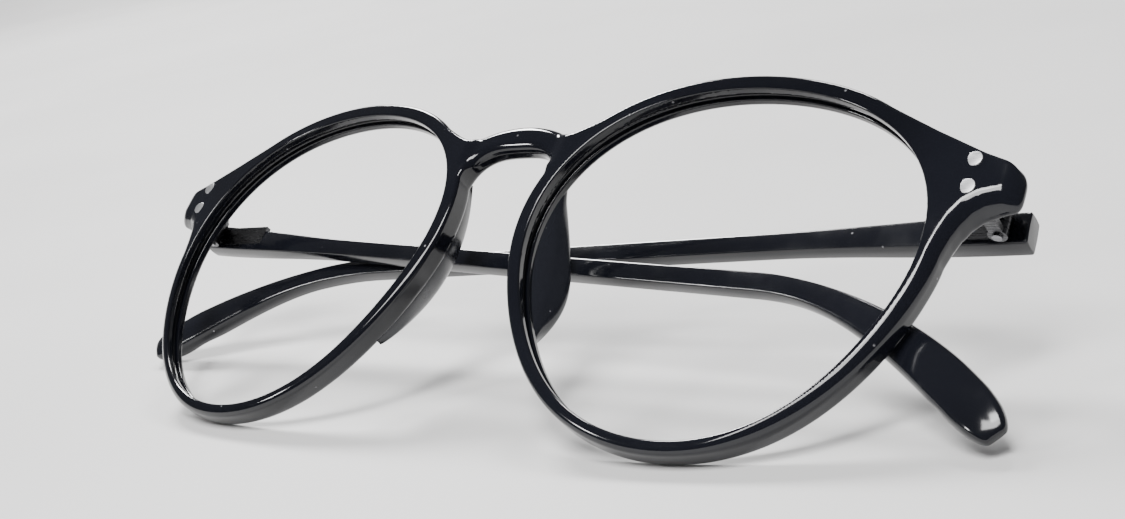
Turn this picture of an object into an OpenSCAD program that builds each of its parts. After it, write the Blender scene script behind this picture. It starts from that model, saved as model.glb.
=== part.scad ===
// Round plastic eyeglasses frame without lenses, folded and standing on its rims and temple tips.
// The front is drawn upright: X to the wearer's left, Y back towards the face, Z up.
// Its middle, halfway between the eyes, is the origin until stand() leans it back onto the floor.

/* [Front] */
// Half the distance between the two eye centres
eye_half = 34.5; // [32:0.5:37]
// Mean radius of a lens opening
eye_r = 25.27; // [24:0.1:26]
// Width of the upper half of the rim seen from the front
rim_w = 2.2; // [2:0.1:2.6]
// How much narrower the rim is at its lowest point
rim_thin = 0.5; // [0.2:0.1:0.6]
// Thickness of the rim from front to back
rim_t = 3.6; // [3.4:0.1:4.2]
// Radius of the sphere that the front face follows
base_r = 460; // [400:10:600]
// Depth of the lens groove
groove_d = 0.7; // [0.4:0.1:1]
// Width of the lens groove
groove_w = 1.0; // [0.6:0.1:1.4]

/* [Bridge] */
// Height of the top of the bridge arch
bridge_top_z = 19.4; // [19:0.1:20]
// Height of the two notches where the bridge meets the rims
bridge_notch_z = 17.0; // [16.6:0.1:17.4]
// Half the distance between the two notches
bridge_notch_x = 8.5; // [8:0.1:9]
// Height of the top of the nose gap
nose_top_z = 15.2; // [14.8:0.1:15.4]
// Half the width of the top of the nose gap
nose_half = 7.3; // [7:0.1:7.6]

/* [End pieces] */
// Half the width over the two end pieces
front_half_w = 70.4; // [70:0.1:72]
// Distance of the end pieces' back faces behind the front's centre
butt_y = 8.0; // [7.6:0.1:8.4]
// Height of the upper front rivet
rivet_top_z = 13.4; // [13:0.1:13.6]
// Height of the lower front rivet
rivet_low_z = 9.6; // [9.4:0.1:10]
// Distance of the front rivets from the middle of the front
rivet_x = 64.0; // [63.6:0.1:64.4]
// Radius of the head of a rivet
rivet_head_r = 1.0; // [0.9:0.05:1.1]

/* [Hinges] */
// Distance of a hinge axis from the middle of the front
hinge_x = 65.9; // [65.5:0.1:66.2]
// Distance of the hinge axes behind the front's centre
hinge_y = 11.1; // [11:0.1:11.4]
// Height of the middle of a hinge
hinge_z = 9.3; // [9.1:0.1:9.5]
// Radius of the hinge knuckles
knuckle_r = 1.15; // [1.1:0.05:1.2]
// Height of one of the five knuckles
knuckle_h = 0.78; // [0.7:0.02:0.8]
// Gap between two knuckles
knuckle_gap = 0.06; // [0.04:0.02:0.1]
// Radius of the hinge screw's shank
screw_r = 0.60; // [0.5:0.05:0.65]
// Radial clearance of the screw in the knuckles
screw_clear = 0.03; // [0.02:0.01:0.05]

/* [Temples] */
// Length of a temple behind its hinge axis, along the ground
temple_l = 138.2; // [130:0.5:140]
// Mean distance behind the hinge axes where the ear bends start
bend_mean_s = 100.2; // [96:0.1:104]
// How much further back the right ear bend starts, and the left one further forwards
bend_skew_s = 3.8; // [3:0.1:4]
// Mean steepness of the ear bends, as extra drop for each millimetre squared
bend_mean_k = 0.0105; // [0.01:0.0001:0.011]
// How much steeper the right ear bend is, and how much gentler the left one
bend_skew_k = 0.0026; // [0.002:0.0001:0.003]
// Mean fall of a temple for each millimetre of length
fall_mean = 0.0696; // [0.066:0.0002:0.074]
// How much more the right temple falls, and how much less the left one
fall_skew = 0.0244; // [0.02:0.0001:0.03]
// Height of the slender middle stretch
blade_h = 2.8; // [2.6:0.1:3]
// Thickness of the slender middle stretch
blade_t = 2.4; // [2.2:0.1:2.8]
// Height at the hinge end
root_h = 4.4; // [4.3:0.1:4.6]
// Thickness at the hinge end
root_t = 3.0; // [2.9:0.1:3.2]
// Height of the paddle at the tip
paddle_h = 5.6; // [4.8:0.1:5.8]
// Thickness of the paddle at the tip
paddle_t = 3.2; // [3:0.1:3.4]

/* [Pose] */
// How far the front leans back from upright
lean = 52; // [50:0.5:60]
// Angle between the left temple folded and open
fold_left = 89.05; // [89:0.05:90]
// Angle between the right temple folded and open
fold_right = 92.05; // [91:0.05:92.1]
// Height of the front's centre above the floor
centre_h = 21.29; // [19:0.01:22]
// Place of the front's centre forwards of the middle of the whole object
centre_y = 1.89; // [-3:0.01:3]

/* [Hidden] */
LEFT = 1;
RIGHT = -1;
nose_low_z = 8.5;
eye_steps = 72;
eye_step_deg = 360 / eye_steps;
cut = 0.01;

// Hinge leaves
inner_x = hinge_x + 1.3;
plate_t = 0.8;
arm_w = 1.6;
hinge_h = 5 * knuckle_h + 4 * knuckle_gap;
front_plate_x0 = 62.6;
temple_plate_y0 = hinge_y + 1.5;
temple_plate_l = 8.5;
head_r = 0.95;
head_h = 0.45;
slot_w = 0.3;
slot_d = 0.25;

// Rivets
rivet_shank_r = 0.55;
rivet_dome_h = 0.25;
rivet_seat_d = 0.5;
rivet_shank_l = 1.1;
temple_rivet_s = [4.0, 7.8];

// Core wires
wire_s0 = 11;
wire_s1 = 128;
wire_h = 1.4;
wire_t = 0.8;

// Nose pads
pad_a0 = 157;
pad_a1 = 212;
pad_steps = 18;
pad_bond = 0.3;

// Radius of a lens opening at angle a, counted from the side away from the nose.
function eye(a) = eye_r + 0.69 * cos(2 * a) - 0.31 * sin(2 * a) + 1.01 * sin(3 * a)
    - 0.08 * cos(4 * a) + 0.13 * sin(5 * a);

// Point of the opening's outline, moved outwards by grow.
function eye_point(a, grow) =
    [eye_half + (eye(a) + grow) * cos(a), (eye(a) + grow) * sin(a)];

// Width of the rim at angle a.
function rim(a) = rim_w - rim_thin * max(0, -sin(a));

// A smooth step from 0 to 1 as x goes from a to b.
function ease(x, a, b) =
    let (u = min(1, max(0, (x - a) / (b - a)))) u * u * (3 - 2 * u);

// How far into the ear bend the distance s behind the hinge axis lies, and how steep the bend is.
function past_bend(s, side) = max(0, s - bend_mean_s + side * bend_skew_s);
function bend_k(side) = bend_mean_k - side * bend_skew_k;

// Height and slope of the temple's centre line at distance s.
function path_z(s, side) =
    hinge_z - (fall_mean - side * fall_skew) * s - bend_k(side) * pow(past_bend(s, side), 2);
function path_slope(s, side) =
    -(fall_mean - side * fall_skew) - 2 * bend_k(side) * past_bend(s, side);

// Height and thickness of the temple at distance s.
function temple_h(s) = blade_h + (root_h - blade_h) * (1 - ease(s, -3, 30))
    + (paddle_h - blade_h) * ease(s, 108, 132) - 1.4 * ease(s, temple_l - 4.5, temple_l + 1);
function temple_t(s) = blade_t + (root_t - blade_t) * (1 - ease(s, 2, 30))
    + (paddle_t - blade_t) * ease(s, 108, 128) - 0.9 * ease(s, temple_l - 6, temple_l + 1);

// Edge of the temple's side view: the centre line moved by off along its normal.
function path_point(s, side, off) =
    let (m = path_slope(s, side), n = sqrt(1 + m * m))
    [s - off * m / n, path_z(s, side) + off / n];

// Leans the front back and sets it on the floor.
module stand() {
    translate([0, -centre_y, centre_h]) rotate([-lean, 0, 0]) children();
}

// Places a piece drawn on the wearer's left on either side.
module on_side(side) {
    if (side == LEFT) children();
    else mirror([1, 0, 0]) children();
}

// Turns a piece of an open temple about its hinge to the folded position.
module folded(side) {
    turn = side == LEFT ? fold_left : fold_right;
    on_side(side)
        translate([hinge_x, hinge_y, 0]) rotate([0, 0, turn]) translate([-hinge_x, -hinge_y, 0])
            children();
}

// Extrudes a flat shape, drawn in X and Z, from y0 to y1.
module slab(y0, y1) {
    translate([0, y1, 0]) rotate([90, 0, 0]) linear_extrude(y1 - y0) children();
}

// The solid sphere whose front side is depth behind the front face.
module behind(depth) {
    translate([0, base_r, 0]) sphere(r = base_r - depth, $fn = 240);
}

module eye_shape(grow) {
    polygon([for (i = [0 : eye_steps - 1]) eye_point(i * eye_step_deg, grow)]);
}

module rim_shape() {
    polygon([for (i = [0 : eye_steps - 1]) let (a = i * eye_step_deg) eye_point(a, rim(a))]);
}

// The rounded, rather square top of the nose gap.
function nose_arch(t) =
    [nose_half * sign(cos(t)) * pow(abs(cos(t)), 0.65),
        nose_low_z + (nose_top_z - nose_low_z) * pow(sin(t), 0.65)];

// The bridge with its arched top, two notches and keyhole nose gap.
module bridge_shape() {
    rise = bridge_top_z - bridge_notch_z;
    arch_r = (pow(bridge_notch_x, 2) + rise * rise) / (2 * rise);
    arch = [for (i = [-8 : 8])
        let (x = bridge_notch_x * i / 8)
        [x, bridge_top_z - arch_r + sqrt(arch_r * arch_r - x * x)]];
    root_x = 16.4;
    root_z = 21.4;
    foot_x = 12;
    foot_z = 2;
    root = [for (i = [1 : 6])
        let (u = i / 6)
        [bridge_notch_x + (root_x - bridge_notch_x) * u,
            bridge_notch_z + (root_z - bridge_notch_z) * pow(u, 1.25)]];
    difference() {
        polygon(concat(arch, root, [[foot_x, foot_z], [-foot_x, foot_z]],
            [for (i = [5 : -1 : 0]) [-root[i].x, root[i].y]]));
        polygon(concat([for (t = [0 : 5 : 180]) nose_arch(t)],
            [[-nose_half - 1, foot_z - 1], [nose_half + 1, foot_z - 1]]));
    }
}

// The end piece seen from the front: a straight top, a short outer edge and a curved underside.
module end_shape(side) {
    on_side(side)
        polygon([[50, 17], [49.5, 22.3], [51.3, 21.5], [55, 19.5], [59.0, 17.4], [65.1, 14.5], [67.9, 13.5],
            [69.3, 12.8], [front_half_w, 11.6], [front_half_w, 9.8], [69.6, 9.0],
            [67.5, 8.5], [66.0, 8.0], [64.8, 7.0], [63.9, 5.4], [63.25, 3.4], [62.75, 1.2], [62.2, -1.5], [58, -1.5]]);
}

module front_shape() {
    for (side = [RIGHT, LEFT]) {
        on_side(side) rim_shape();
        end_shape(side);
    }
    bridge_shape();
}

// The block of an end piece behind the rim, sloping down towards the back.
module end_block(side) {
    block_x0 = 61.8;
    intersection() {
        slab(0, butt_y) on_side(side)
            polygon([[block_x0, 5], [block_x0, 16], [65.1, 14.5], [67.9, 13.5], [69.3, 12.8],
                [front_half_w, 11.6], [front_half_w, 8.4], [69.6, 7.4], [67.5, 6.8], [66, 6.2],
                [64.8, 5.2], [64, 4.2]]);
        on_side(side) translate([block_x0, 0, 0]) rotate([90, 0, 90]) linear_extrude(12)
            polygon([[4, 9.2], [4, 15.4], [butt_y, 12.0], [butt_y, 4.2], [7.4, 5.4], [5, 8.6]]);
    }
}

module front() {
    color([0.02, 0.02, 0.03]) stand() difference() {
        intersection() {
            behind(0);
            union() {
                difference() {
                    slab(-4, butt_y) front_shape();
                    behind(rim_t);
                }
                end_block(LEFT);
                end_block(RIGHT);
            }
        }
        for (side = [RIGHT, LEFT]) {
            on_side(side) outer_corner();
            slab(-6, 16) on_side(side) eye_shape(0);
            lens_groove(side);
            on_side(side) front_plate_space();
            on_side(side) front_rivet_holes();
        }
    }
}

// What the rounded outer edge of an end piece leaves free in front of it.
module outer_corner() {
    translate([0, 0, 5]) linear_extrude(12)
        polygon([[68.6, -6], [68.6, 4.9], [69.5, 5.6], [70.1, 6.6], [front_half_w, butt_y],
            [front_half_w + 3, butt_y], [front_half_w + 3, -6]]);
}

// The groove that a lens snaps into, a thin spherical slice of the wall of the opening.
module lens_groove(side) {
    groove_y = (rim_t - groove_w) / 2;
    intersection() {
        slab(-4, 14) on_side(side) eye_shape(groove_d);
        difference() {
            behind(groove_y);
            behind(groove_y + groove_w);
        }
    }
}

// The pocket in the end piece's back face that the hinge plate fills.
module front_plate_space() {
    translate([front_plate_x0, butt_y - plate_t, hinge_z - hinge_h / 2])
        cube([hinge_x + arm_w / 2 - front_plate_x0, plate_t + cut, hinge_h]);
}

module front_rivet_holes() {
    for (z = [rivet_low_z, rivet_top_z]) front_rivet_body(z, 1);
}

// Distance of the front face behind the front's centre, at the place x, z.
function face_y(x, z) = base_r - sqrt(base_r * base_r - x * x - z * z);

// A rivet from the front face back into the end piece: a head let into it and a shank.
module front_rivet_body(z, dome) {
    y = face_y(rivet_x, z);
    translate([rivet_x, y - dome, z]) rotate([-90, 0, 0])
        cylinder(r = rivet_head_r, h = rivet_seat_d + dome, $fn = 40);
    translate([rivet_x, y, z]) rotate([-90, 0, 0])
        cylinder(r = rivet_shank_r, h = rivet_seat_d + rivet_shank_l, $fn = 32);
}

module front_rivet(side, z) {
    color([0.78, 0.78, 0.8]) stand() on_side(side) front_rivet_body(z, rivet_dome_h);
}

// A nose pad: a crescent on the back of the rim's nose side that leans out behind the opening.
module nose_pad(side) {
    function depth(u) = pow(max(0.0001, sin(180 * u)), 0.7);
    function ring(u) =
        let (a = pad_a0 + (pad_a1 - pad_a0) * u, q = depth(u),
            back = face_y(eye_point(a, rim_w).x, eye_point(a, rim_w).y) + rim_t,
            section = [[rim_w - 0.1, back - pad_bond], [rim_w - 0.9 * q, back + 1.7 * q],
                [rim_w - 2.7 * q, back + 3.9 * q], [rim_w - 4.0 * q, back + 4.7 * q],
                [rim_w - 4.7 * q, back + 4.2 * q], [0.2 - 1.5 * q, back + 1.6 * q],
                [0.2, back - pad_bond]])
        [for (p = section) let (e = eye_point(a, p[0])) [e.x, p[1], e.y]];
    points = [for (i = [0 : pad_steps]) each ring(i / pad_steps)];
    n = 7;
    walls = [for (i = [0 : pad_steps - 1], j = [0 : n - 1])
        let (a = i * n + j, b = i * n + (j + 1) % n)
        each [[a, b, b + n], [a, b + n, a + n]]];
    caps = [[for (j = [n - 1 : -1 : 0]) j], [for (j = [0 : n - 1]) pad_steps * n + j]];
    color([0.03, 0.03, 0.04]) stand() on_side(side) polyhedron(points, concat(walls, caps));
}

// Lowest point of knuckle number i, counted from the bottom.
function knuckle_z(i) = hinge_z - hinge_h / 2 + i * (knuckle_h + knuckle_gap);

// Half of a hinge drawn with its pin on the Z axis: knuckles on arms reaching along +Y.
module knuckles(numbers, reach) {
    for (i = numbers) translate([hinge_x, hinge_y, knuckle_z(i)]) difference() {
        union() {
            cylinder(r = knuckle_r, h = knuckle_h, $fn = 40);
            rotate([0, 0, reach[0]]) translate([-arm_w / 2, 0, 0]) cube([arm_w, reach[1], knuckle_h]);
        }
        translate([0, 0, -1]) cylinder(r = screw_r + screw_clear, h = knuckle_h + 2, $fn = 32);
    }
}

module front_hinge(side) {
    color([0.7, 0.7, 0.72]) stand() on_side(side) union() {
        knuckles([0, 2, 4], [180, hinge_y - butt_y + plate_t / 2]);
        translate([front_plate_x0, butt_y - plate_t, hinge_z - hinge_h / 2])
            cube([hinge_x + arm_w / 2 - front_plate_x0, plate_t, hinge_h]);
    }
}

// The plate let into the temple's inner face, or its pocket, which starts a little in front.
module temple_plate(start) {
    h = hinge_h - 1.0;
    translate([inner_x - start, temple_plate_y0, hinge_z - h / 2])
        cube([plate_t + start, temple_plate_l, h]);
}

module temple_hinge(side) {
    color([0.7, 0.7, 0.72]) stand() folded(side) union() {
        knuckles([1, 3], [-90, inner_x - hinge_x + plate_t]);
        temple_plate(0);
        for (i = [1, 3]) translate([inner_x, hinge_y - arm_w / 2, knuckle_z(i)])
            cube([plate_t, temple_plate_y0 - hinge_y + arm_w, knuckle_h]);
    }
}

module hinge_screw(side) {
    top = hinge_z + hinge_h / 2;
    color([0.8, 0.8, 0.82]) stand() on_side(side) translate([hinge_x, hinge_y, 0]) difference() {
        union() {
            translate([0, 0, top - hinge_h - 0.3]) cylinder(r = screw_r, h = hinge_h + 0.3 + cut, $fn = 32);
            translate([0, 0, top]) cylinder(r = head_r, h = head_h, $fn = 36);
        }
        translate([-2, -slot_w / 2, top + head_h - slot_d]) cube([4, slot_w, slot_d + 1]);
    }
}

// Stations along the temple, closer together in the ear bend.
stations = concat([for (s = [-2.8, 0, 4, 10, 16, 22, 30, 40, 60, 80, 92]) s],
    [for (i = [1 : 20]) 92 + (temple_l - 92) * i / 20]);
last = len(stations) - 1;

// The temple seen from the side, as a flat shape in s and Z.
module temple_side(side) {
    polygon(concat([for (s = stations) path_point(s, side, temple_h(s) / 2)],
        [for (i = [last : -1 : 0]) path_point(stations[i], side, -temple_h(stations[i]) / 2)]));
}

// The temple seen from above, as a flat shape in thickness and s.
module temple_plan() {
    reach = 6;
    polygon(concat([[0, -4], [0, temple_l + reach], [temple_t(temple_l), temple_l + reach]],
        [for (i = [last : -1 : 0]) [temple_t(stations[i]), stations[i]]], [[root_t, -4]]));
}

module open_temple(side) {
    intersection() {
        translate([inner_x - 1, hinge_y, 0]) rotate([90, 0, 90]) linear_extrude(8) temple_side(side);
        translate([inner_x, hinge_y, -60]) linear_extrude(120) temple_plan();
    }
}

// The core wire's space, grown by grow on every side.
module wire_space(side, grow) {
    steps = 20;
    s = [for (i = [0 : steps]) wire_s0 + (wire_s1 - wire_s0) * i / steps];
    half = wire_h / 2 + grow;
    translate([inner_x + blade_t / 2 - wire_t / 2 - grow, hinge_y, 0]) rotate([90, 0, 90])
        linear_extrude(wire_t + 2 * grow)
            polygon(concat([for (p = s) path_point(p, side, half)],
                [for (i = [steps : -1 : 0]) path_point(s[i], side, -half)]));
}

// A temple rivet drawn from the outer face in to the hinge plate.
module temple_rivet_body(s, dome) {
    outer = inner_x + temple_t(s + 1);
    translate([inner_x + plate_t, hinge_y + s, hinge_z - 0.3]) rotate([0, 90, 0])
        cylinder(r = rivet_shank_r, h = outer - inner_x - plate_t, $fn = 32);
    translate([outer - rivet_seat_d, hinge_y + s, hinge_z - 0.3]) rotate([0, 90, 0])
        cylinder(r = rivet_head_r, h = rivet_seat_d + dome, $fn = 40);
}

module temple_rivet(side, s) {
    color([0.78, 0.78, 0.8]) stand() folded(side) temple_rivet_body(s, rivet_dome_h);
}

module temple(side) {
    color([0.02, 0.02, 0.03]) stand() folded(side) difference() {
        open_temple(side);
        temple_plate(cut);
        for (i = [1, 3])
            translate([inner_x - cut, hinge_y - arm_w / 2, knuckle_z(i)])
                cube([plate_t + cut, temple_plate_y0 - hinge_y + arm_w, knuckle_h]);
        for (s = temple_rivet_s) temple_rivet_body(s, 1);
        wire_space(side, 0);
    }
}

module core_wire(side) {
    color([0.6, 0.6, 0.62]) stand() folded(side) wire_space(side, 0);
}

front();
nose_pad(LEFT);  // nose_pad_left
nose_pad(RIGHT);  // nose_pad_right
front_hinge(LEFT);  // front_hinge_left
front_hinge(RIGHT);  // front_hinge_right
temple_hinge(LEFT);  // temple_hinge_left
temple_hinge(RIGHT);  // temple_hinge_right
hinge_screw(LEFT);  // hinge_screw_left
hinge_screw(RIGHT);  // hinge_screw_right
temple(LEFT);  // temple_left
temple(RIGHT);  // temple_right
core_wire(LEFT);  // core_wire_left
core_wire(RIGHT);  // core_wire_right
front_rivet(LEFT, rivet_top_z);  // front_rivet_upper_left
front_rivet(LEFT, rivet_low_z);  // front_rivet_lower_left
front_rivet(RIGHT, rivet_top_z);  // front_rivet_upper_right
front_rivet(RIGHT, rivet_low_z);  // front_rivet_lower_right
temple_rivet(LEFT, temple_rivet_s[0]);  // temple_rivet_fore_left
temple_rivet(LEFT, temple_rivet_s[1]);  // temple_rivet_aft_left
temple_rivet(RIGHT, temple_rivet_s[0]);  // temple_rivet_fore_right
temple_rivet(RIGHT, temple_rivet_s[1]);  // temple_rivet_aft_right
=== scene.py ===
import math

import bpy
import numpy as np
from mathutils import Matrix, Vector


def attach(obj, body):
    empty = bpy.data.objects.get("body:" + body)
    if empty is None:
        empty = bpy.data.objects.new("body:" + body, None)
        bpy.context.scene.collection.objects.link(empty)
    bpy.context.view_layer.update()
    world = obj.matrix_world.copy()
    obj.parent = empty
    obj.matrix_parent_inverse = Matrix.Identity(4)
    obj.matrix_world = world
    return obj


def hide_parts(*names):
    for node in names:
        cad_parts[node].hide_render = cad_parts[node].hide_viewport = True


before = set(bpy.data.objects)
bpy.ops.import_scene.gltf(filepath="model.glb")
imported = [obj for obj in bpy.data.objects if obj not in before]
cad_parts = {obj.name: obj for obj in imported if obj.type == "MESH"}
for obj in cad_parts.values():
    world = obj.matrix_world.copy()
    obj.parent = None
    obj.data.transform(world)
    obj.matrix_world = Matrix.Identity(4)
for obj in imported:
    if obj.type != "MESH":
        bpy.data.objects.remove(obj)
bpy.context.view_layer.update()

MM = 0.001

# ---------------------------------------------------------------- measures, in millimetres
# Upright, as worn: x to the wearer's left, y backwards, z up, from the middle of the front's face.
EYE_HALF = 34.5            # middle of the front to an opening's centre
EYE_R = 25.27              # mean radius of the opening
EYE_WAVES = {2: (0.69, -0.31), 3: (0.0, 1.01), 4: (-0.08, 0.0), 5: (0.0, 0.13)}
RIM_W = 2.2                # width of the rim seen from the front
RIM_THIN = 0.5             # how much thinner it is at the bottom
RIM_T = 3.6                # thickness from face to back
BASE_R = 460.0             # radius of the spherical face
GROOVE_D = 0.7
GROOVE_W = 1.0
BRIDGE_TOP_Z = 19.4
BRIDGE_NOTCH_X = 8.5       # where the bridge's arc ends and its root begins
BRIDGE_NOTCH_Z = 17.0
BRIDGE_ROOT_X = 16.4       # where the root runs into the rim
BRIDGE_ROOT_Z = 21.4
NOSE_TOP_Z = 15.2
NOSE_HALF = 7.3
NOSE_LOW_Z = 8.5
NOSE_POWER = 0.65          # exponent of the super-elliptic nose gap
FRONT_HALF_W = 70.4
BUTT_Y = 8.0               # depth at which the end pieces stop and the temples begin
END_X = 58.0               # beyond this the end piece is deeper than the rim
RIVET_Z = {"upper": 13.4, "lower": 9.6}
RIVET_X = 64.0
RIVET_HEAD_R = 1.0
RIVET_DOME = {"front": 0.14, "temple": 0.25}
RIVET_DEPTH = 0.5
HINGE_X = 65.9
HINGE_Y = 11.1
HINGE_Z = 9.3
INNER_X = HINGE_X + 1.3    # inner face of an open temple
TEMPLE_L = 138.2           # hinge to tip
TEMPLE_FRONT_S = -2.8      # hinge to butt
TEMPLE_RIVET_S = {"fore": 4.0, "aft": 7.8}
BEND_S = {1: 96.4, -1: 104.0}
BEND_K = {1: 0.0079, -1: 0.0131}
FALL = {1: 0.0452, -1: 0.0940}
BLADE_H = 2.8
BLADE_T = 2.4
ROOT_H = 4.4
ROOT_T = 3.0
PADDLE_H = 5.6
PADDLE_T = 3.2
TIP_ROUND = 2.4            # length over which the temple's tip closes
BUTT_ROUND = 0.25

# Edges of the front: radii, and how deep some of its parts are set or cut
EDGE_R = 0.5               # face to outline, over the top
EDGE_R_LOW = 0.4           # added towards the bottom
EDGE_R_OUTER = 1.1         # added on the outer lower side and under the end piece
EDGE_R_BRIDGE = 0.85       # added on the bridge
BACK_R = 1.0
OPENING_R = 0.28
OPENING_R_LOW = 0.2        # added towards the bottom
GROOVE_R = 0.3
GROOVE_LIP_R = 0.2
BRIDGE_SET_BACK = 0.45
END_SLOPE = 0.55           # fall of the end piece's underside for each millimetre of depth
CORNER_R = 1.3
CORNER_AT = (69.5, 6.3)    # x and y on the slanted cut behind the end piece
CORNER_FACES = (0.865, -0.502)

# How the frame stands on the table, and how far its temples are turned in
LEAN = math.radians(52)
FOLD = {1: math.radians(89.05), -1: math.radians(92.05)}
CENTRE_H = 21.29
CENTRE_Y = 1.89
SIDES = {"left": 1, "right": -1}

# Camera in the same upright millimetres: its place, a step along its view, and a step upwards
CAMERA_AT = np.array([134.05, -131.76, -88.74])
CAMERA_AHEAD = np.array([-60.01, 67.08, 43.58])
CAMERA_TOP = np.array([-0.05, -54.52, 83.83])
CAMERA_LENS = 50.98

# Table and lamps, in metres: a lamp's direction from the object, distance, size and watts
FLOOR_Z = 0.0003
LAMPS = {
    "lamp_far_left": ((-0.60, 0.50, 0.62), 1.4, (0.34, 0.34), 23.0),
    "lamp_behind": ((-0.22, 0.66, 0.75), 1.4, (0.25, 0.25), 9.0),
    "lamp_above_right": ((0.06, -0.52, 0.85), 1.1, (0.62, 0.34), 13.0),
    "lamp_overhead": ((0.12, -0.27, 0.95), 1.1, (0.32, 0.26), 8.0),
    "lamp_low_left": ((-0.62, -0.60, 0.50), 1.3, (0.15, 0.15), 4.0),
}
LAMP_AIM = (0.0, 0.0, 0.012)


# ---------------------------------------------------------------- shared formulas
def ease(x, a, b):
    """Smooth step: 3u^2 - 2u^3, where u goes from 0 at a to 1 at b."""
    u = np.clip((x - a) / (b - a), 0.0, 1.0)
    return u * u * (3 - 2 * u)


def eye_radius(a):
    """Radius of the lens opening at angle a: a circle plus small second to fifth harmonics."""
    return EYE_R + sum(c * np.cos(n * a) + s * np.sin(n * a) for n, (c, s) in EYE_WAVES.items())


def eye_slope(a):
    """Derivative of eye_radius with the angle."""
    return sum(n * (s * np.cos(n * a) - c * np.sin(n * a)) for n, (c, s) in EYE_WAVES.items())


def face_y(x, z):
    """Depth of the spherical front face: R - sqrt(R^2 - x^2 - z^2)."""
    return BASE_R - np.sqrt(BASE_R ** 2 - x * x - z * z)


def lean_back(y, z):
    """Turns the y and z parts of upright points or directions back by LEAN about X."""
    c, s = math.cos(LEAN), math.sin(LEAN)
    return y * c + z * s, -y * s + z * c


def stand(p):
    """Leans upright points back, lifts them onto the table and turns them into metres."""
    y, z = lean_back(p[..., 1], p[..., 2])
    return np.stack([p[..., 0], y - CENTRE_Y, z + CENTRE_H], axis=-1) * MM


def fold(p, side):
    """Turns open temple points about the hinge's upright axis, then mirrors them for the right side."""
    c, s = math.cos(FOLD[side]), math.sin(FOLD[side])
    x, y = p[..., 0] - HINGE_X, p[..., 1] - HINGE_Y
    return np.stack([side * (HINGE_X + x * c - y * s), HINGE_Y + x * s + y * c, p[..., 2]], axis=-1)


def round_max(a, b, r):
    """Intersection of two distances whose shared edge has radius r."""
    return (np.minimum(np.maximum(a, b), -r)
            + np.hypot(np.maximum(a + r, 0), np.maximum(b + r, 0)))


# ---------------------------------------------------------------- meshes
def new_piece(name, points, faces, body, material, replaced, normals=None):
    """Makes a mesh from whole arrays, in metres, hangs it under its body's empty and hides the parts it
    replaces.
    """
    mesh = bpy.data.meshes.new(name)
    faces = np.asarray(faces, dtype=np.int32)
    mesh.vertices.add(len(points))
    mesh.vertices.foreach_set("co", np.ascontiguousarray(points, dtype=np.float32).ravel())
    mesh.loops.add(faces.size)
    mesh.loops.foreach_set("vertex_index", faces.ravel())
    mesh.polygons.add(len(faces))
    starts = np.arange(0, faces.size, faces.shape[1], dtype=np.int32)
    mesh.polygons.foreach_set("loop_start", starts)
    mesh.update(calc_edges=True)
    mesh.validate()
    mesh.polygons.foreach_set("use_smooth", np.ones(len(mesh.polygons), dtype=bool))
    if normals is not None:
        mesh.normals_split_custom_set_from_vertices(normals.tolist())
    mesh.materials.append(material)
    piece = bpy.data.objects.new(name, mesh)
    bpy.context.scene.collection.objects.link(piece)
    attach(piece, body)
    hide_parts(*replaced)


def tube_faces(rings, around):
    """Quads between each ring of a tube and the next."""
    i = np.arange(rings - 1)[:, None] * around
    j = np.arange(around)[None, :]
    k = (j + 1) % around
    return np.stack([i + j, i + k, i + around + k, i + around + j], axis=-1).reshape(-1, 4)


def pole_faces(rings, around, first, last):
    """Triangles from the first ring to the point first, and from the last ring to the point last."""
    j = np.arange(around)
    k = (j + 1) % around
    top = (rings - 1) * around
    return np.concatenate([np.stack([k, j, np.full(around, first)], axis=-1),
                           np.stack([top + j, top + k, np.full(around, last)], axis=-1)])


def closed_tube(name, rings, flip, body, material, replaced):
    """A tube of rings (n, m, 3) in metres, closed at both ends with a pole in the middle of the ring."""
    n, m = rings.shape[:2]
    ends = np.stack([rings[0].mean(axis=0), rings[-1].mean(axis=0)])
    points = np.concatenate([rings.reshape(-1, 3), ends])
    quads = tube_faces(n, m)
    poles = pole_faces(n, m, n * m, n * m + 1)
    faces = np.concatenate([quads[:, [0, 1, 2]], quads[:, [0, 2, 3]], poles])
    if flip:
        faces = faces[:, ::-1]
    new_piece(name, points, faces, body, material, replaced)


# ---------------------------------------------------------------- the front's outline
def rim_corners():
    """Outer outline of the left rim: the opening's radius plus the rim's width, thinner below."""
    a = np.linspace(0, 2 * np.pi, 240, endpoint=False)
    r = eye_radius(a) + RIM_W - RIM_THIN * np.maximum(0, -np.sin(a))
    return np.stack([EYE_HALF + r * np.cos(a), r * np.sin(a)], axis=1)


def bridge_corners():
    """Bridge outline: an arc over the top, roots that rise as u^1.25, and a super-elliptic nose gap."""
    rise = BRIDGE_TOP_Z - BRIDGE_NOTCH_Z
    arc_r = (BRIDGE_NOTCH_X ** 2 + rise ** 2) / (2 * rise)
    x = np.linspace(-BRIDGE_NOTCH_X, BRIDGE_NOTCH_X, 33)
    top = np.stack([x, BRIDGE_TOP_Z - arc_r + np.sqrt(arc_r ** 2 - x * x)], axis=1)
    u = np.linspace(0, 1, 9)[1:]
    root = np.stack([BRIDGE_NOTCH_X + (BRIDGE_ROOT_X - BRIDGE_NOTCH_X) * u,
                     BRIDGE_NOTCH_Z + (BRIDGE_ROOT_Z - BRIDGE_NOTCH_Z) * u ** 1.25], axis=1)
    t = np.linspace(0, np.pi, 49)
    c, s = np.cos(t), np.sin(t)
    arch = np.stack([NOSE_HALF * np.sign(c) * np.abs(c) ** NOSE_POWER,
                     NOSE_LOW_Z + (NOSE_TOP_Z - NOSE_LOW_Z) * np.abs(s) ** NOSE_POWER], axis=1)
    foot = np.array([[12.0, 2.0], [8.17, 2.0]])
    mirror = np.array([-1.0, 1.0])
    return np.concatenate([top, root, foot, arch, foot[::-1] * mirror, root[::-1] * mirror])


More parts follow.
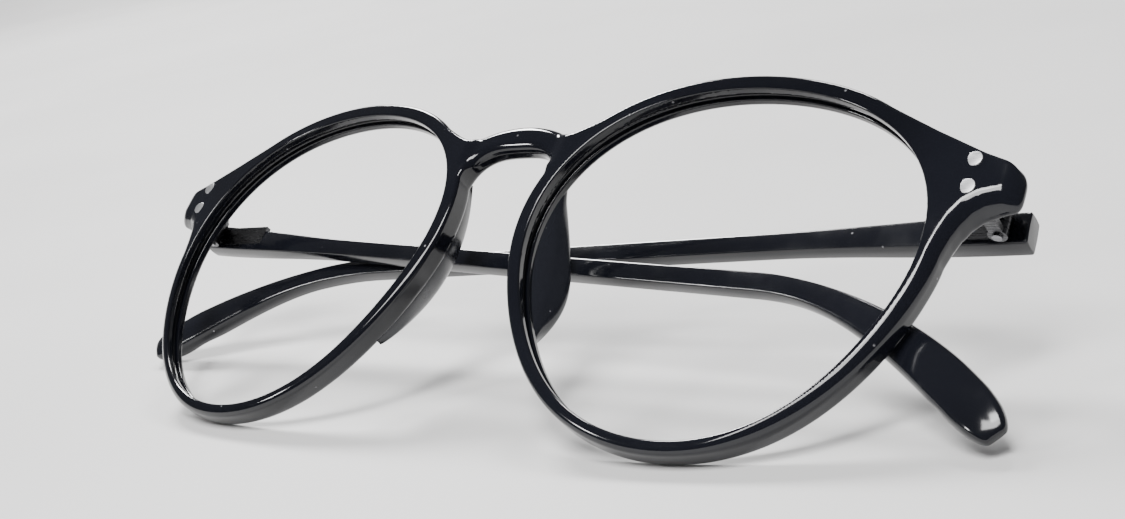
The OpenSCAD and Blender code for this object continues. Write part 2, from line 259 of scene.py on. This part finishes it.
def end_corners():
    """End piece seen from the front: a straight top, a short outer edge and a curved underside."""
    top = [[50, 17], [49.5, 22.3], [51.3, 21.5], [55, 19.5], [59.0, 17.4], [65.1, 14.5], [67.9, 13.5],
           [69.3, 12.8], [FRONT_HALF_W, 11.6]]
    underside = [[FRONT_HALF_W, 9.8], [69.6, 9.0], [67.5, 8.5], [66.0, 8.0], [64.8, 7.0], [63.9, 5.4],
                 [63.25, 3.4], [62.75, 1.2], [62.2, -1.5], [58, -1.5]]
    return np.array(top + underside)


def polygon_distance(x, z, corners):
    """Signed distance to a closed polygon: least distance to an edge, negative inside by the even-odd rule."""
    least = np.full(x.shape, np.inf)
    inside = np.zeros(x.shape, dtype=bool)
    for (ax, az), (bx, bz) in zip(corners, np.roll(corners, -1, axis=0)):
        ex, ez = bx - ax, bz - az
        t = np.clip(((x - ax) * ex + (z - az) * ez) / (ex * ex + ez * ez), 0, 1)
        least = np.minimum(least, np.hypot(x - ax - t * ex, z - az - t * ez))
        crosses = (az > z) != (bz > z)
        inside ^= crosses & (x < ax + (z - az) * ex / (ez if ez else 1.0))
    return np.where(inside, -least, least)


CELL = 0.4
GRID_X0, GRID_Z0 = -4.0, -32.0
grid_x, grid_z = np.meshgrid(GRID_X0 + CELL * np.arange(200), GRID_Z0 + CELL * np.arange(150),
                             indexing="ij")
outline_grid = np.minimum.reduce([polygon_distance(grid_x, grid_z, corners)
                                  for corners in (rim_corners(), bridge_corners(), end_corners())])


def spline_weights(t):
    """Uniform cubic B-spline weights of four neighbours at fraction t."""
    return [(1 - t) ** 3 / 6, (3 * t ** 3 - 6 * t ** 2 + 4) / 6,
            (-3 * t ** 3 + 3 * t ** 2 + 3 * t + 1) / 6, t ** 3 / 6]


def smooth_outline(x, z):
    """Distance to the outline: the grid's values under a uniform cubic B-spline, sixteen neighbours each."""
    u, v = (x - GRID_X0) / CELL, (z - GRID_Z0) / CELL
    i = np.clip(np.floor(u).astype(int), 1, outline_grid.shape[0] - 3)
    j = np.clip(np.floor(v).astype(int), 1, outline_grid.shape[1] - 3)
    across, up = spline_weights(np.clip(u - i, 0, 1)), spline_weights(np.clip(v - j, 0, 1))
    total = 0.0
    for m in range(4):
        for n in range(4):
            total = total + across[m] * up[n] * outline_grid[i + m - 1, j + n - 1]
    return total


def opening_distance(x, z):
    """Distance to the opening's outline, negative inside it: radius difference over the outline's slope."""
    dx = x - EYE_HALF
    a = np.arctan2(z, dx)
    r = eye_radius(a)
    return (np.hypot(dx, z) - r) / np.sqrt(1 + (eye_slope(a) / r) ** 2)


def front_distance(x, w, z):
    """Signed distance of the whole front at x, z and depth w behind its face.

    The outline, the face and the back meet in rounded edges, whose radius grows on the outer lower side and
    on the bridge. The end piece goes on back to the butt, its underside falls with depth and a slanted cut takes
    its rear corner. Then the openings are taken out, and last the lens grooves in their walls.
    """
    x = np.abs(x)
    y = w + face_y(x, z)
    drop = END_SLOPE * np.clip(w, 0, 4) * ease(x, 61.5, 64.5) * (1 - ease(z, 8.0, 12.5))
    outline = smooth_outline(x, z + drop)
    opening = opening_distance(x, z)
    outer_low = ease(x, 40, 52) * (1 - ease(z, 9.5, 12.5))
    bridge = (1 - ease(x, 6.4, 8.8)) * ease(z, 11.5, 13.5)
    edge_r = (EDGE_R + EDGE_R_LOW * (1 - ease(z, -8, 8)) * (1 - outer_low)
              + EDGE_R_OUTER * outer_low + EDGE_R_BRIDGE * bridge)
    back = np.maximum(w - RIM_T, np.where(x > END_X, y - BUTT_Y + 0.03, -9.0))
    solid = round_max(round_max(outline, back, BACK_R), BRIDGE_SET_BACK * bridge - w, edge_r)
    corner = CORNER_FACES[0] * (x - CORNER_AT[0]) + CORNER_FACES[1] * (y - CORNER_AT[1])
    solid = round_max(solid, corner, CORNER_R)
    solid = round_max(solid, -opening, OPENING_R + OPENING_R_LOW * (1 - ease(z, -20, -8)))
    groove = round_max(np.abs(w - RIM_T / 2) - GROOVE_W / 2 - 0.06, opening - GROOVE_D, GROOVE_R)
    return round_max(solid, -groove, GROOVE_LIP_R)


# ---------------------------------------------------------------- the front's surface
def crossed_cells(v, inside, lo, step):
    """A point for each grid cell that the surface crosses: the mean of the crossings on the cell's edges."""
    cells = tuple(s - 1 for s in v.shape)
    corners = [(i, j, k) for i in (0, 1) for j in (0, 1) for k in (0, 1)]
    count = sum(inside[i:i + cells[0], j:j + cells[1], k:k + cells[2]].astype(np.int8)
                for i, j, k in corners)
    where = np.argwhere((count > 0) & (count < 8))
    index = np.full(cells, -1, dtype=np.int32)
    index[tuple(where.T)] = np.arange(len(where))
    value = {c: v[tuple((where + c).T)] for c in corners}
    total = np.zeros((len(where), 3))
    number = np.zeros(len(where))
    for c in corners:
        for d in range(3):
            if c[d]:
                continue
            a, b = value[c], value[tuple(c[m] + (m == d) for m in range(3))]
            crossed = (a < 0) != (b < 0)
            t = np.where(crossed, a / np.where(crossed, a - b, 1.0), 0.0)
            place = np.array(c, dtype=float)[None, :] + t[:, None] * np.eye(3)[d][None, :]
            total += place * crossed[:, None]
            number += crossed
    return np.array(lo) + step * (where + total / number[:, None]), index


def crossed_edges(inside, index):
    """A quad around each grid edge that the surface crosses, turned so that it faces out."""
    shape, cells = inside.shape, index.shape
    quads = []
    for d in range(3):
        o1, o2 = (d + 1) % 3, (d + 2) % 3
        size = [shape[m] - (m == d) for m in range(3)]
        near = inside[tuple(slice(0, size[m]) for m in range(3))]
        far = inside[tuple(slice(int(m == d), size[m] + int(m == d)) for m in range(3))]
        edges = np.argwhere(near != far)
        keep = ((edges[:, o1] > 0) & (edges[:, o2] > 0)
                & (edges[:, o1] < cells[o1]) & (edges[:, o2] < cells[o2]))
        edges = edges[keep]
        leaving = near[tuple(edges.T)]
        ring = []
        for s1, s2 in ((0, 0), (-1, 0), (-1, -1), (0, -1)):
            cell = edges.copy()
            cell[:, o1] += s1
            cell[:, o2] += s2
            ring.append(index[tuple(cell.T)])
        quad = np.stack(ring, axis=1)
        quad[~leaving] = quad[~leaving][:, ::-1]
        quads.append(quad)
    return np.concatenate(quads)


def field_gradient(field, points, h=0.01):
    """Central differences of the field, h to each side."""
    x, w, z = points.T
    return np.stack([field(x + h, w, z) - field(x - h, w, z),
                     field(x, w + h, z) - field(x, w - h, z),
                     field(x, w, z + h) - field(x, w, z - h)], axis=1) / (2 * h)


def surface_net(field, lo, shape, step, relaxing=4, settling=5):
    """Net around field = 0, one point per crossed cell and one quad per crossed edge.

    The first rounds move each point halfway to the mean of its neighbours, and every round then moves it along
    the gradient onto the surface: p - f g / |g|^2, never by more than 0.15 of the gradient.
    """
    axes = [lo[d] + step * np.arange(shape[d]) for d in range(3)]
    v = field(axes[0][:, None, None], axes[1][None, :, None], axes[2][None, None, :])
    inside = v < 0
    points, index = crossed_cells(v, inside, lo, step)
    quads = crossed_edges(inside, index)
    edges = np.concatenate([quads[:, [k, (k + 1) % 4]] for k in range(4)])
    start, end, n = edges[:, 0], edges[:, 1], len(points)
    degree = np.bincount(start, minlength=n)[:, None]
    for turn in range(relaxing + settling):
        if turn < relaxing:
            near = [np.bincount(start, weights=points[end, d], minlength=n) for d in range(3)]
            points = points + 0.5 * (np.stack(near, axis=1) / degree - points)
        gradient = field_gradient(field, points)
        step_back = field(*points.T) / np.maximum((gradient ** 2).sum(axis=1), 0.25)
        points = points - np.clip(step_back, -0.15, 0.15)[:, None] * gradient
    return points, quads, gradient


def front_normals(points, gradient):
    """Normals in the world: the field's gradient taken from x, depth, z to x, y, z, then leaned back."""
    x, z = points[:, 0], points[:, 2]
    root = np.sqrt(BASE_R ** 2 - x * x - z * z)
    n_y, n_z = lean_back(gradient[:, 1], gradient[:, 2] - gradient[:, 1] * z / root)
    n = np.stack([gradient[:, 0] - gradient[:, 1] * x / root, n_y, n_z], axis=1)
    return n / np.linalg.norm(n, axis=1)[:, None]


# ---------------------------------------------------------------- material nodes
def node_group(name, inputs, outputs):
    """A shader node group with its sockets, its input node and its output node."""
    group = bpy.data.node_groups.new(name, "ShaderNodeTree")
    for label, kind, default in inputs:
        socket = group.interface.new_socket(label, in_out="INPUT", socket_type=kind)
        if default is not None:
            socket.default_value = default
    for label, kind in outputs:
        group.interface.new_socket(label, in_out="OUTPUT", socket_type=kind)
    return group, group.nodes.new("NodeGroupInput"), group.nodes.new("NodeGroupOutput")


def place_group(tree, group, where, **settings):
    """Puts a node group into a material, fed with the coordinates and its own values."""
    node = tree.nodes.new("ShaderNodeGroup")
    node.node_tree = group
    tree.links.new(where, node.inputs["Vector"])
    for label, value in settings.items():
        node.inputs[label].default_value = value
    return node


def add_node(tree, kind, **settings):
    """A node with values set on its sockets."""
    node = tree.nodes.new(kind)
    for label, value in settings.items():
        node.inputs[label].default_value = value
    return node


def math_node(tree, operation, a, b):
    """A Math node on two values, each a number or a socket."""
    node = tree.nodes.new("ShaderNodeMath")
    node.operation = operation
    for socket, value in zip(node.inputs, (a, b)):
        if isinstance(value, (int, float)):
            socket.default_value = value
        else:
            tree.links.new(value, socket)
    return node.outputs[0]


def noise(tree, vector, scale, detail=2.0, rough=0.5, stretch=None):
    """Noise value at an Object coordinate, with the coordinate stretched first where a grain runs one way."""
    if stretch is not None:
        mapping = add_node(tree, "ShaderNodeMapping", Scale=stretch)
        tree.links.new(vector, mapping.inputs["Vector"])
        vector = mapping.outputs["Vector"]
    node = add_node(tree, "ShaderNodeTexNoise", Scale=scale, Detail=detail, Roughness=rough)
    tree.links.new(vector, node.inputs["Vector"])
    return node.outputs["Fac"]


def ramp(tree, value, low, high, out_low=0.0, out_high=1.0):
    """Value from low..high mapped smoothly to out_low..out_high and held beyond."""
    node = tree.nodes.new("ShaderNodeMapRange")
    node.interpolation_type = "SMOOTHSTEP"
    tree.links.new(value, node.inputs["Value"])
    for label, number in (("From Min", low), ("From Max", high), ("To Min", out_low), ("To Max", out_high)):
        node.inputs[label].default_value = number
    return node.outputs["Result"]


def mix_colour(tree, factor, a, b):
    """A colour mix of two values, each a triple or a socket."""
    node = tree.nodes.new("ShaderNodeMix")
    node.data_type = "RGBA"
    tree.links.new(factor, node.inputs["Factor"])
    for socket, value in ((node.inputs[6], a), (node.inputs[7], b)):
        if isinstance(value, tuple):
            socket.default_value = (*value, 1.0)
        else:
            tree.links.new(value, socket)
    return node.outputs[2]


def bump(tree, shader, height, strength, distance):
    """Drives the shader's normal with a height."""
    node = add_node(tree, "ShaderNodeBump", Strength=strength, Distance=distance)
    tree.links.new(height, node.inputs["Height"])
    tree.links.new(node.outputs["Normal"], shader.inputs["Normal"])


def start_material(name):
    """A new material with its tree, its Principled BSDF and the Object coordinates."""
    material = bpy.data.materials.new(name)
    material.use_nodes = True
    tree = material.node_tree
    where = tree.nodes.new("ShaderNodeTexCoord").outputs["Object"]
    return material, tree, tree.nodes["Principled BSDF"], where


def make_handling_group():
    """Handled plastic: faint smears, hairline scratches and specks of dust, as masks and a height."""
    group, gin, gout = node_group(
        "handled_gloss",
        [("Vector", "NodeSocketVector", None), ("Smear", "NodeSocketFloat", 0.5),
         ("Scratch", "NodeSocketFloat", 0.5)],
        [("Smears", "NodeSocketFloat"), ("Dust", "NodeSocketFloat"), ("Height", "NodeSocketFloat")])
    vector = gin.outputs["Vector"]
    smears = ramp(group, noise(group, vector, 90, 4, 0.6), 0.42, 0.72)
    smears = math_node(group, "MULTIPLY", smears, gin.outputs["Smear"])
    hairs = [ramp(group, noise(group, vector, 1.0, 1, 0.5, stretch), 0.72, 0.78)
             for stretch in ((60, 900, 260), (700, 90, 500), (260, 500, 60))]
    scratches = math_node(group, "MAXIMUM", math_node(group, "MAXIMUM", hairs[0], hairs[1]), hairs[2])
    scratches = math_node(group, "MULTIPLY", scratches, gin.outputs["Scratch"])
    dots = add_node(group, "ShaderNodeTexVoronoi", Scale=620.0)
    group.links.new(vector, dots.inputs["Vector"])
    near = ramp(group, dots.outputs["Distance"], 0.05, 0.13, 1.0, 0.0)
    sparse = ramp(group, noise(group, vector, 260, 2), 0.60, 0.66)
    dust = math_node(group, "MULTIPLY", near, sparse)
    waves = noise(group, vector, 55, 1.5, 0.4)
    height = math_node(group, "SUBTRACT", waves, math_node(group, "MULTIPLY", scratches, 0.12))
    for label, value in (("Smears", smears), ("Dust", dust), ("Height", height)):
        group.links.new(value, gout.inputs[label])
    return group


def make_brush_group():
    """Finished metal: fine brush lines along one axis, and small pits, as a value and a height."""
    group, gin, gout = node_group(
        "brushed_metal", [("Vector", "NodeSocketVector", None), ("Depth", "NodeSocketFloat", 0.5)],
        [("Lines", "NodeSocketFloat"), ("Height", "NodeSocketFloat")])
    vector = gin.outputs["Vector"]
    lines = noise(group, vector, 1.0, 3, 0.6, (400, 9000, 5000))
    pits = ramp(group, noise(group, vector, 3800, 1), 0.62, 0.75)
    height = math_node(group, "MULTIPLY", math_node(group, "SUBTRACT", lines, pits), gin.outputs["Depth"])
    group.links.new(lines, gout.inputs["Lines"])
    group.links.new(height, gout.inputs["Height"])
    return group


handled = make_handling_group()
brushed = make_brush_group()


# ---------------------------------------------------------------- finishes
def acetate(name, deep, pale, gloss, smear, scratch):
    """Polished bluish black acetate: a slow colour drift, smears that dull it, scratches and dust."""
    material, tree, shader, where = start_material(name)
    wear = place_group(tree, handled, where, Smear=smear, Scratch=scratch)
    drift = ramp(tree, noise(tree, where, 28, 3), 0.3, 0.7)
    colour = mix_colour(tree, drift, deep, pale)
    dust = wear.outputs["Dust"]
    colour = mix_colour(tree, math_node(tree, "MULTIPLY", dust, 0.5), colour, (0.42, 0.42, 0.44))
    tree.links.new(colour, shader.inputs["Base Color"])
    rough = math_node(tree, "ADD", math_node(tree, "MULTIPLY", wear.outputs["Smears"], 0.16), gloss)
    rough = math_node(tree, "ADD", rough, math_node(tree, "MULTIPLY", dust, 0.3))
    tree.links.new(rough, shader.inputs["Roughness"])
    shader.inputs["IOR"].default_value = 1.5
    bump(tree, shader, wear.outputs["Height"], 0.35, 0.00012)
    return material


def metal(name, dark, light, rough_low, rough_high, depth):
    """Satin metal: brush lines drive colour and roughness, pits and lines the height."""
    material, tree, shader, where = start_material(name)
    lines = place_group(tree, brushed, where, Depth=depth)
    spread = ramp(tree, lines.outputs["Lines"], 0.3, 0.7)
    tree.links.new(mix_colour(tree, spread, dark, light), shader.inputs["Base Color"])
    rough = ramp(tree, lines.outputs["Lines"], 0.3, 0.7, rough_high, rough_low)
    tree.links.new(rough, shader.inputs["Roughness"])
    shader.inputs["Metallic"].default_value = 1.0
    bump(tree, shader, lines.outputs["Height"], 0.3, 0.00002)
    return material


def table_finish():
    """Matt pale table: a slow drift between two near whites and a fine grain."""
    material, tree, shader, where = start_material("table_white")
    drift = ramp(tree, noise(tree, where, 9, 3), 0.3, 0.7)
    colour = mix_colour(tree, drift, (0.64, 0.635, 0.63), (0.68, 0.675, 0.67))
    tree.links.new(colour, shader.inputs["Base Color"])
    shader.inputs["Roughness"].default_value = 0.55
    shader.inputs["Specular IOR Level"].default_value = 0.25
    bump(tree, shader, noise(tree, where, 900, 3), 0.08, 0.00004)
    return material


front_plastic = acetate("front_acetate", (0.0030, 0.0034, 0.0054), (0.0054, 0.0060, 0.0092), 0.07, 0.5, 0.5)
temple_plastic = acetate("temple_acetate", (0.0036, 0.0040, 0.0060), (0.0064, 0.0070, 0.0104), 0.12, 0.8, 0.8)
pad_plastic = acetate("pad_acetate", (0.009, 0.010, 0.014), (0.014, 0.015, 0.020), 0.17, 0.8, 0.5)
rivet_metal = metal("rivet_silver", (0.40, 0.40, 0.41), (0.62, 0.62, 0.63), 0.32, 0.5, 0.6)
# The hinge's near-black colour and the screw's dark grey are painted shade: they stand for the shade these parts
# sit in under the end piece, not the metals' own colours.
hinge_metal_painted_shade = metal("hinge_nickel_painted_shade", (0.05, 0.05, 0.053), (0.12, 0.12, 0.125), 0.22, 0.40, 0.6)
screw_metal_painted_shade = metal("screw_steel_painted_shade", (0.18, 0.18, 0.19), (0.30, 0.30, 0.31), 0.16, 0.34, 0.4)
wire_metal = metal("wire_drawn", (0.36, 0.36, 0.37), (0.50, 0.50, 0.51), 0.25, 0.45, 0.5)


# ---------------------------------------------------------------- the front
NET_STEP = 0.27
NET_LO = (-(FRONT_HALF_W + 0.9) - NET_STEP / 3, -0.7, -28.0)
NET_SIZE = (2 * (FRONT_HALF_W + 1.2), 9.2, 56.5)

net_shape = tuple(int(size / NET_STEP) + 2 for size in NET_SIZE)
net_points, net_quads, net_gradient = surface_net(front_distance, NET_LO, net_shape, NET_STEP)
net_x, net_w, net_z = net_points.T
upright = np.stack([net_x, net_w + face_y(net_x, net_z), net_z], axis=1)
new_piece("front_shell", stand(upright), net_quads, "front", front_plastic, ["front"],
          front_normals(net_points, net_gradient))


# ---------------------------------------------------------------- nose pads
def closed_spline(corners, count):
    """Periodic cubic B-spline of the corners (..., n, 2), sampled at count places around."""
    n = corners.shape[-2]
    u = np.linspace(0, n, count, endpoint=False)
    i = np.floor(u).astype(int)
    weights = spline_weights((u - i)[:, None])
    return sum(corners[..., (i + k - 1) % n, :] * weights[k] for k in range(4))


def nose_pad(side):
    """Crescent on the rim's nose side: a smooth section whose reach grows as sin(pi u)^0.7 along the arc.

    The section's corners are given as how far they lie outside the opening, and how deep.
    """
    u = np.linspace(0, 1, 90)
    q = np.maximum(np.sin(np.pi * u), 1e-4) ** 0.7
    a = np.radians(157 + 55 * u)
    edge = eye_radius(a) + RIM_W
    back = face_y(EYE_HALF + edge * np.cos(a), edge * np.sin(a)) + RIM_T
    outside = [np.full_like(q, RIM_W - 0.25), RIM_W - 0.5 - 0.6 * q, RIM_W - 2.5 * q, RIM_W - 4.3 * q,
               RIM_W - 5.3 * q, 0.3 - 2.0 * q, np.full_like(q, 0.25)]
    deep = [back - 0.9, back + 1.9 * q, back + 4.2 * q, back + 5.2 * q,
            back + 4.5 * q, back + 1.5 * q, back - 0.9]
    section = closed_spline(np.stack([np.stack(outside, axis=1), np.stack(deep, axis=1)], axis=2), 48)
    r = eye_radius(a)[:, None] + section[..., 0]
    c, s = np.cos(a)[:, None], np.sin(a)[:, None]
    return stand(np.stack([side * (EYE_HALF + r * c), section[..., 1], r * s], axis=-1))


for word, side in SIDES.items():
    closed_tube(f"pad_{word}", nose_pad(side), side < 0, "front", pad_plastic,
                [f"nose_pad_{word}"])


# ---------------------------------------------------------------- temples
def past_bend(s, side):
    """Distance past the start of the ear bend, nothing before it."""
    return np.maximum(0, s - BEND_S[side])


def path_z(s, side):
    """Height of the temple's centre line: a straight fall, then a parabola past the ear bend's start."""
    return HINGE_Z - FALL[side] * s - BEND_K[side] * past_bend(s, side) ** 2


def temple_height(s):
    """From the root's height to the blade's, up to the paddle's, and a little less at the tip."""
    return (BLADE_H + (ROOT_H - BLADE_H) * (1 - ease(s, -3, 30)) + (PADDLE_H - BLADE_H) * ease(s, 108, 132)
            - 1.4 * ease(s, TEMPLE_L - 4.5, TEMPLE_L + 1))


def temple_thickness(s):
    """As the height, with a shallow waist of Gaussian form just before the tip."""
    waist = np.exp(-((s - TEMPLE_L + 7.5) / 2.0) ** 2)
    return (BLADE_T + (ROOT_T - BLADE_T) * (1 - ease(s, 2, 30)) + (PADDLE_T - BLADE_T) * ease(s, 108, 128)
            - 0.3 * waist - 0.7 * ease(s, TEMPLE_L - 5, TEMPLE_L + 1))


def round_box(half_w, half_h, radius, around=64):
    """Outline of a rectangle with round corners, as arcs of the radius around the four inner corners."""
    a = (np.arange(around) + 0.5) / around * 2 * np.pi
    c, s = np.cos(a), np.sin(a)
    scale = np.maximum(np.abs(c), np.abs(s))
    square_x, square_y = np.clip(c / scale * 1.35, -1, 1), np.clip(s / scale * 1.35, -1, 1)
    inner_w, inner_h = half_w - radius, half_h - radius
    return np.stack([inner_w[:, None] * square_x + radius[:, None] * c,
                     inner_h[:, None] * square_y + radius[:, None] * s], axis=-1)


def temple(side):
    """Section of rounded corners carried along the bent centre line; its ends draw in as quarter ellipses."""
    length = TEMPLE_L - TEMPLE_FRONT_S
    t = np.concatenate([np.linspace(0, 1, 7)[:-1] ** 2 * BUTT_ROUND,
                        np.linspace(BUTT_ROUND, length - TIP_ROUND, 330),
                        length - TIP_ROUND * (1 - np.sin(np.linspace(0, np.pi / 2, 14)[1:]))])
    s = TEMPLE_FRONT_S + t
    tip = np.clip((s - (TEMPLE_L - TIP_ROUND)) / TIP_ROUND, 0, 1)
    butt = np.clip(1 - t / BUTT_ROUND, 0, 1)
    tip_in = 1 - np.sqrt(np.maximum(0, 1 - tip ** 2))
    butt_in = (1 - np.sqrt(np.maximum(0, 1 - butt ** 2))) * BUTT_ROUND
    half_h = temple_height(s) / 2 * (1 - 0.55 * tip_in) - butt_in
    half_t = temple_thickness(s) / 2 * (1 - 0.75 * tip_in) - butt_in
    radius = np.minimum(half_h, half_t) * (0.42 + 0.45 * ease(s, 106, 124))
    section = round_box(half_t, half_h, np.maximum(radius, 0.05))
    slope = -FALL[side] - 2 * BEND_K[side] * past_bend(s, side)
    n = np.sqrt(1 + slope ** 2)[:, None]
    off = section[..., 1]
    middle_x = INNER_X + 0.03 * (1 - ease(s, 14, 18)) + temple_thickness(s) / 2
    x = middle_x[:, None] + section[..., 0]
    y = HINGE_Y + s[:, None] - off * slope[:, None] / n
    z = path_z(s, side)[:, None] + off / n
    return stand(fold(np.stack([x, y, z], axis=-1), side))


for word, side in SIDES.items():
    closed_tube(f"temple_arm_{word}", temple(side), side > 0, f"temple_{word}",
                temple_plastic, [f"temple_{word}"])


# ---------------------------------------------------------------- rivets
def rivet(dome):
    """Revolved rivet head: a flat dome h = dome (1 - 0.6 r^2), a small edge radius and a straight side."""
    flat = np.linspace(0.02, 0.9, 12)
    turn = np.linspace(0, np.pi / 2, 6)[1:]
    r = np.concatenate([flat, 0.9 + 0.1 * np.sin(turn), [1.0]])
    h = np.concatenate([dome * (1 - 0.6 * flat ** 2),
                        dome * 0.51 - 0.1 * RIVET_HEAD_R * (1 - np.cos(turn)), [-RIVET_DEPTH]])
    a = np.linspace(0, 2 * np.pi, 48, endpoint=False)
    return (RIVET_HEAD_R * r[:, None] * np.cos(a), RIVET_HEAD_R * r[:, None] * np.sin(a),
            np.broadcast_to(h[:, None], (len(r), len(a))))


for word, side in SIDES.items():
    for level, z in RIVET_Z.items():
        across, up, out = rivet(RIVET_DOME["front"])
        p = np.stack([side * (RIVET_X + across), face_y(RIVET_X, z) - out, z + up], axis=-1)
        closed_tube(f"front_rivet_cap_{level}_{word}", stand(p), side < 0, "front",
                    rivet_metal, [f"front_rivet_{level}_{word}"])
    for place, s in TEMPLE_RIVET_S.items():
        across, up, out = rivet(RIVET_DOME["temple"])
        outer_x = INNER_X + temple_thickness(s + 1.0)
        p = np.stack([outer_x + out, HINGE_Y + s + across, HINGE_Z - 0.3 + up], axis=-1)
        closed_tube(f"temple_rivet_cap_{place}_{word}", stand(fold(p, side)), side < 0, f"temple_{word}",
                    rivet_metal, [f"temple_rivet_{place}_{word}"])

# ---------------------------------------------------------------- metal parts kept as they are
for word in SIDES:
    # The hinges and screws get the colours darkened as painted shade.
    for part, material in (("front_hinge", hinge_metal_painted_shade), ("temple_hinge", hinge_metal_painted_shade),
                           ("hinge_screw", screw_metal_painted_shade), ("core_wire", wire_metal)):
        node_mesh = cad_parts[f"{part}_{word}"].data
        node_mesh.materials.clear()
        node_mesh.materials.append(material)


# ---------------------------------------------------------------- table, lamps and camera
def table_sweep():
    """Pale sweep: flat under the object, then rising as a parabola of the distance past 1.1 m behind it."""
    t = np.concatenate([[-1.3], np.linspace(1.1, 2.1, 41)])
    across = np.array([-2.2, 2.2])
    ahead = np.array([-0.65, 0.76])
    aside = np.array([0.76, 0.65])
    flat = t[:, None, None] * ahead + across[None, :, None] * aside
    rise = FLOOR_Z + 0.9 * np.maximum(0, t - 1.1) ** 2
    return np.concatenate([flat, np.broadcast_to(rise[:, None, None], (len(t), 2, 1))], axis=-1)


sweep = table_sweep()
row = 2 * np.arange(len(sweep) - 1)[:, None]
table_mesh = bpy.data.meshes.new("table_top")
table_mesh.from_pydata(sweep.reshape(-1, 3).tolist(), [], (row + np.array([0, 2, 3, 1])).tolist())
table_mesh.polygons.foreach_set("use_smooth", np.ones(len(table_mesh.polygons), dtype=bool))
table_mesh.materials.append(table_finish())
table_top = bpy.data.objects.new("table_top", table_mesh)
bpy.context.scene.collection.objects.link(table_top)


def area_lamp(name, direction, distance, size, watts):
    """A rectangular lamp at a distance in a direction from the object, turned to face it."""
    light = bpy.data.lights.new(name, "AREA")
    light.shape = "RECTANGLE"
    light.size, light.size_y = size
    light.energy = watts
    lamp = bpy.data.objects.new(name, light)
    bpy.context.scene.collection.objects.link(lamp)
    place = Vector(direction).normalized() * distance
    lamp.location = place
    lamp.rotation_euler = (Vector(LAMP_AIM) - place).to_track_quat("-Z", "Y").to_euler()


for name, lamp in LAMPS.items():
    area_lamp(name, *lamp)

world = bpy.data.worlds.new("studio")
world.use_nodes = True
background = world.node_tree.nodes["Background"]
background.inputs["Color"].default_value = (0.93, 0.95, 1.0, 1.0)
background.inputs["Strength"].default_value = 0.12
bpy.context.scene.world = world

camera_data = bpy.data.cameras.new("camera")
camera_data.sensor_width = 36.0
camera_data.lens = CAMERA_LENS
camera_data.clip_start = 0.01
camera = bpy.data.objects.new("camera", camera_data)
bpy.context.scene.collection.objects.link(camera)
place, ahead, top = stand(CAMERA_AT + np.stack([0 * CAMERA_AHEAD, CAMERA_AHEAD, CAMERA_TOP]))
forward = Vector(ahead - place).normalized()
right = forward.cross(Vector(top - place)).normalized()
up = right.cross(forward)
camera.matrix_world = Matrix.Translation(place) @ Matrix((right, up, -forward)).transposed().to_4x4()
bpy.context.scene.camera = camera
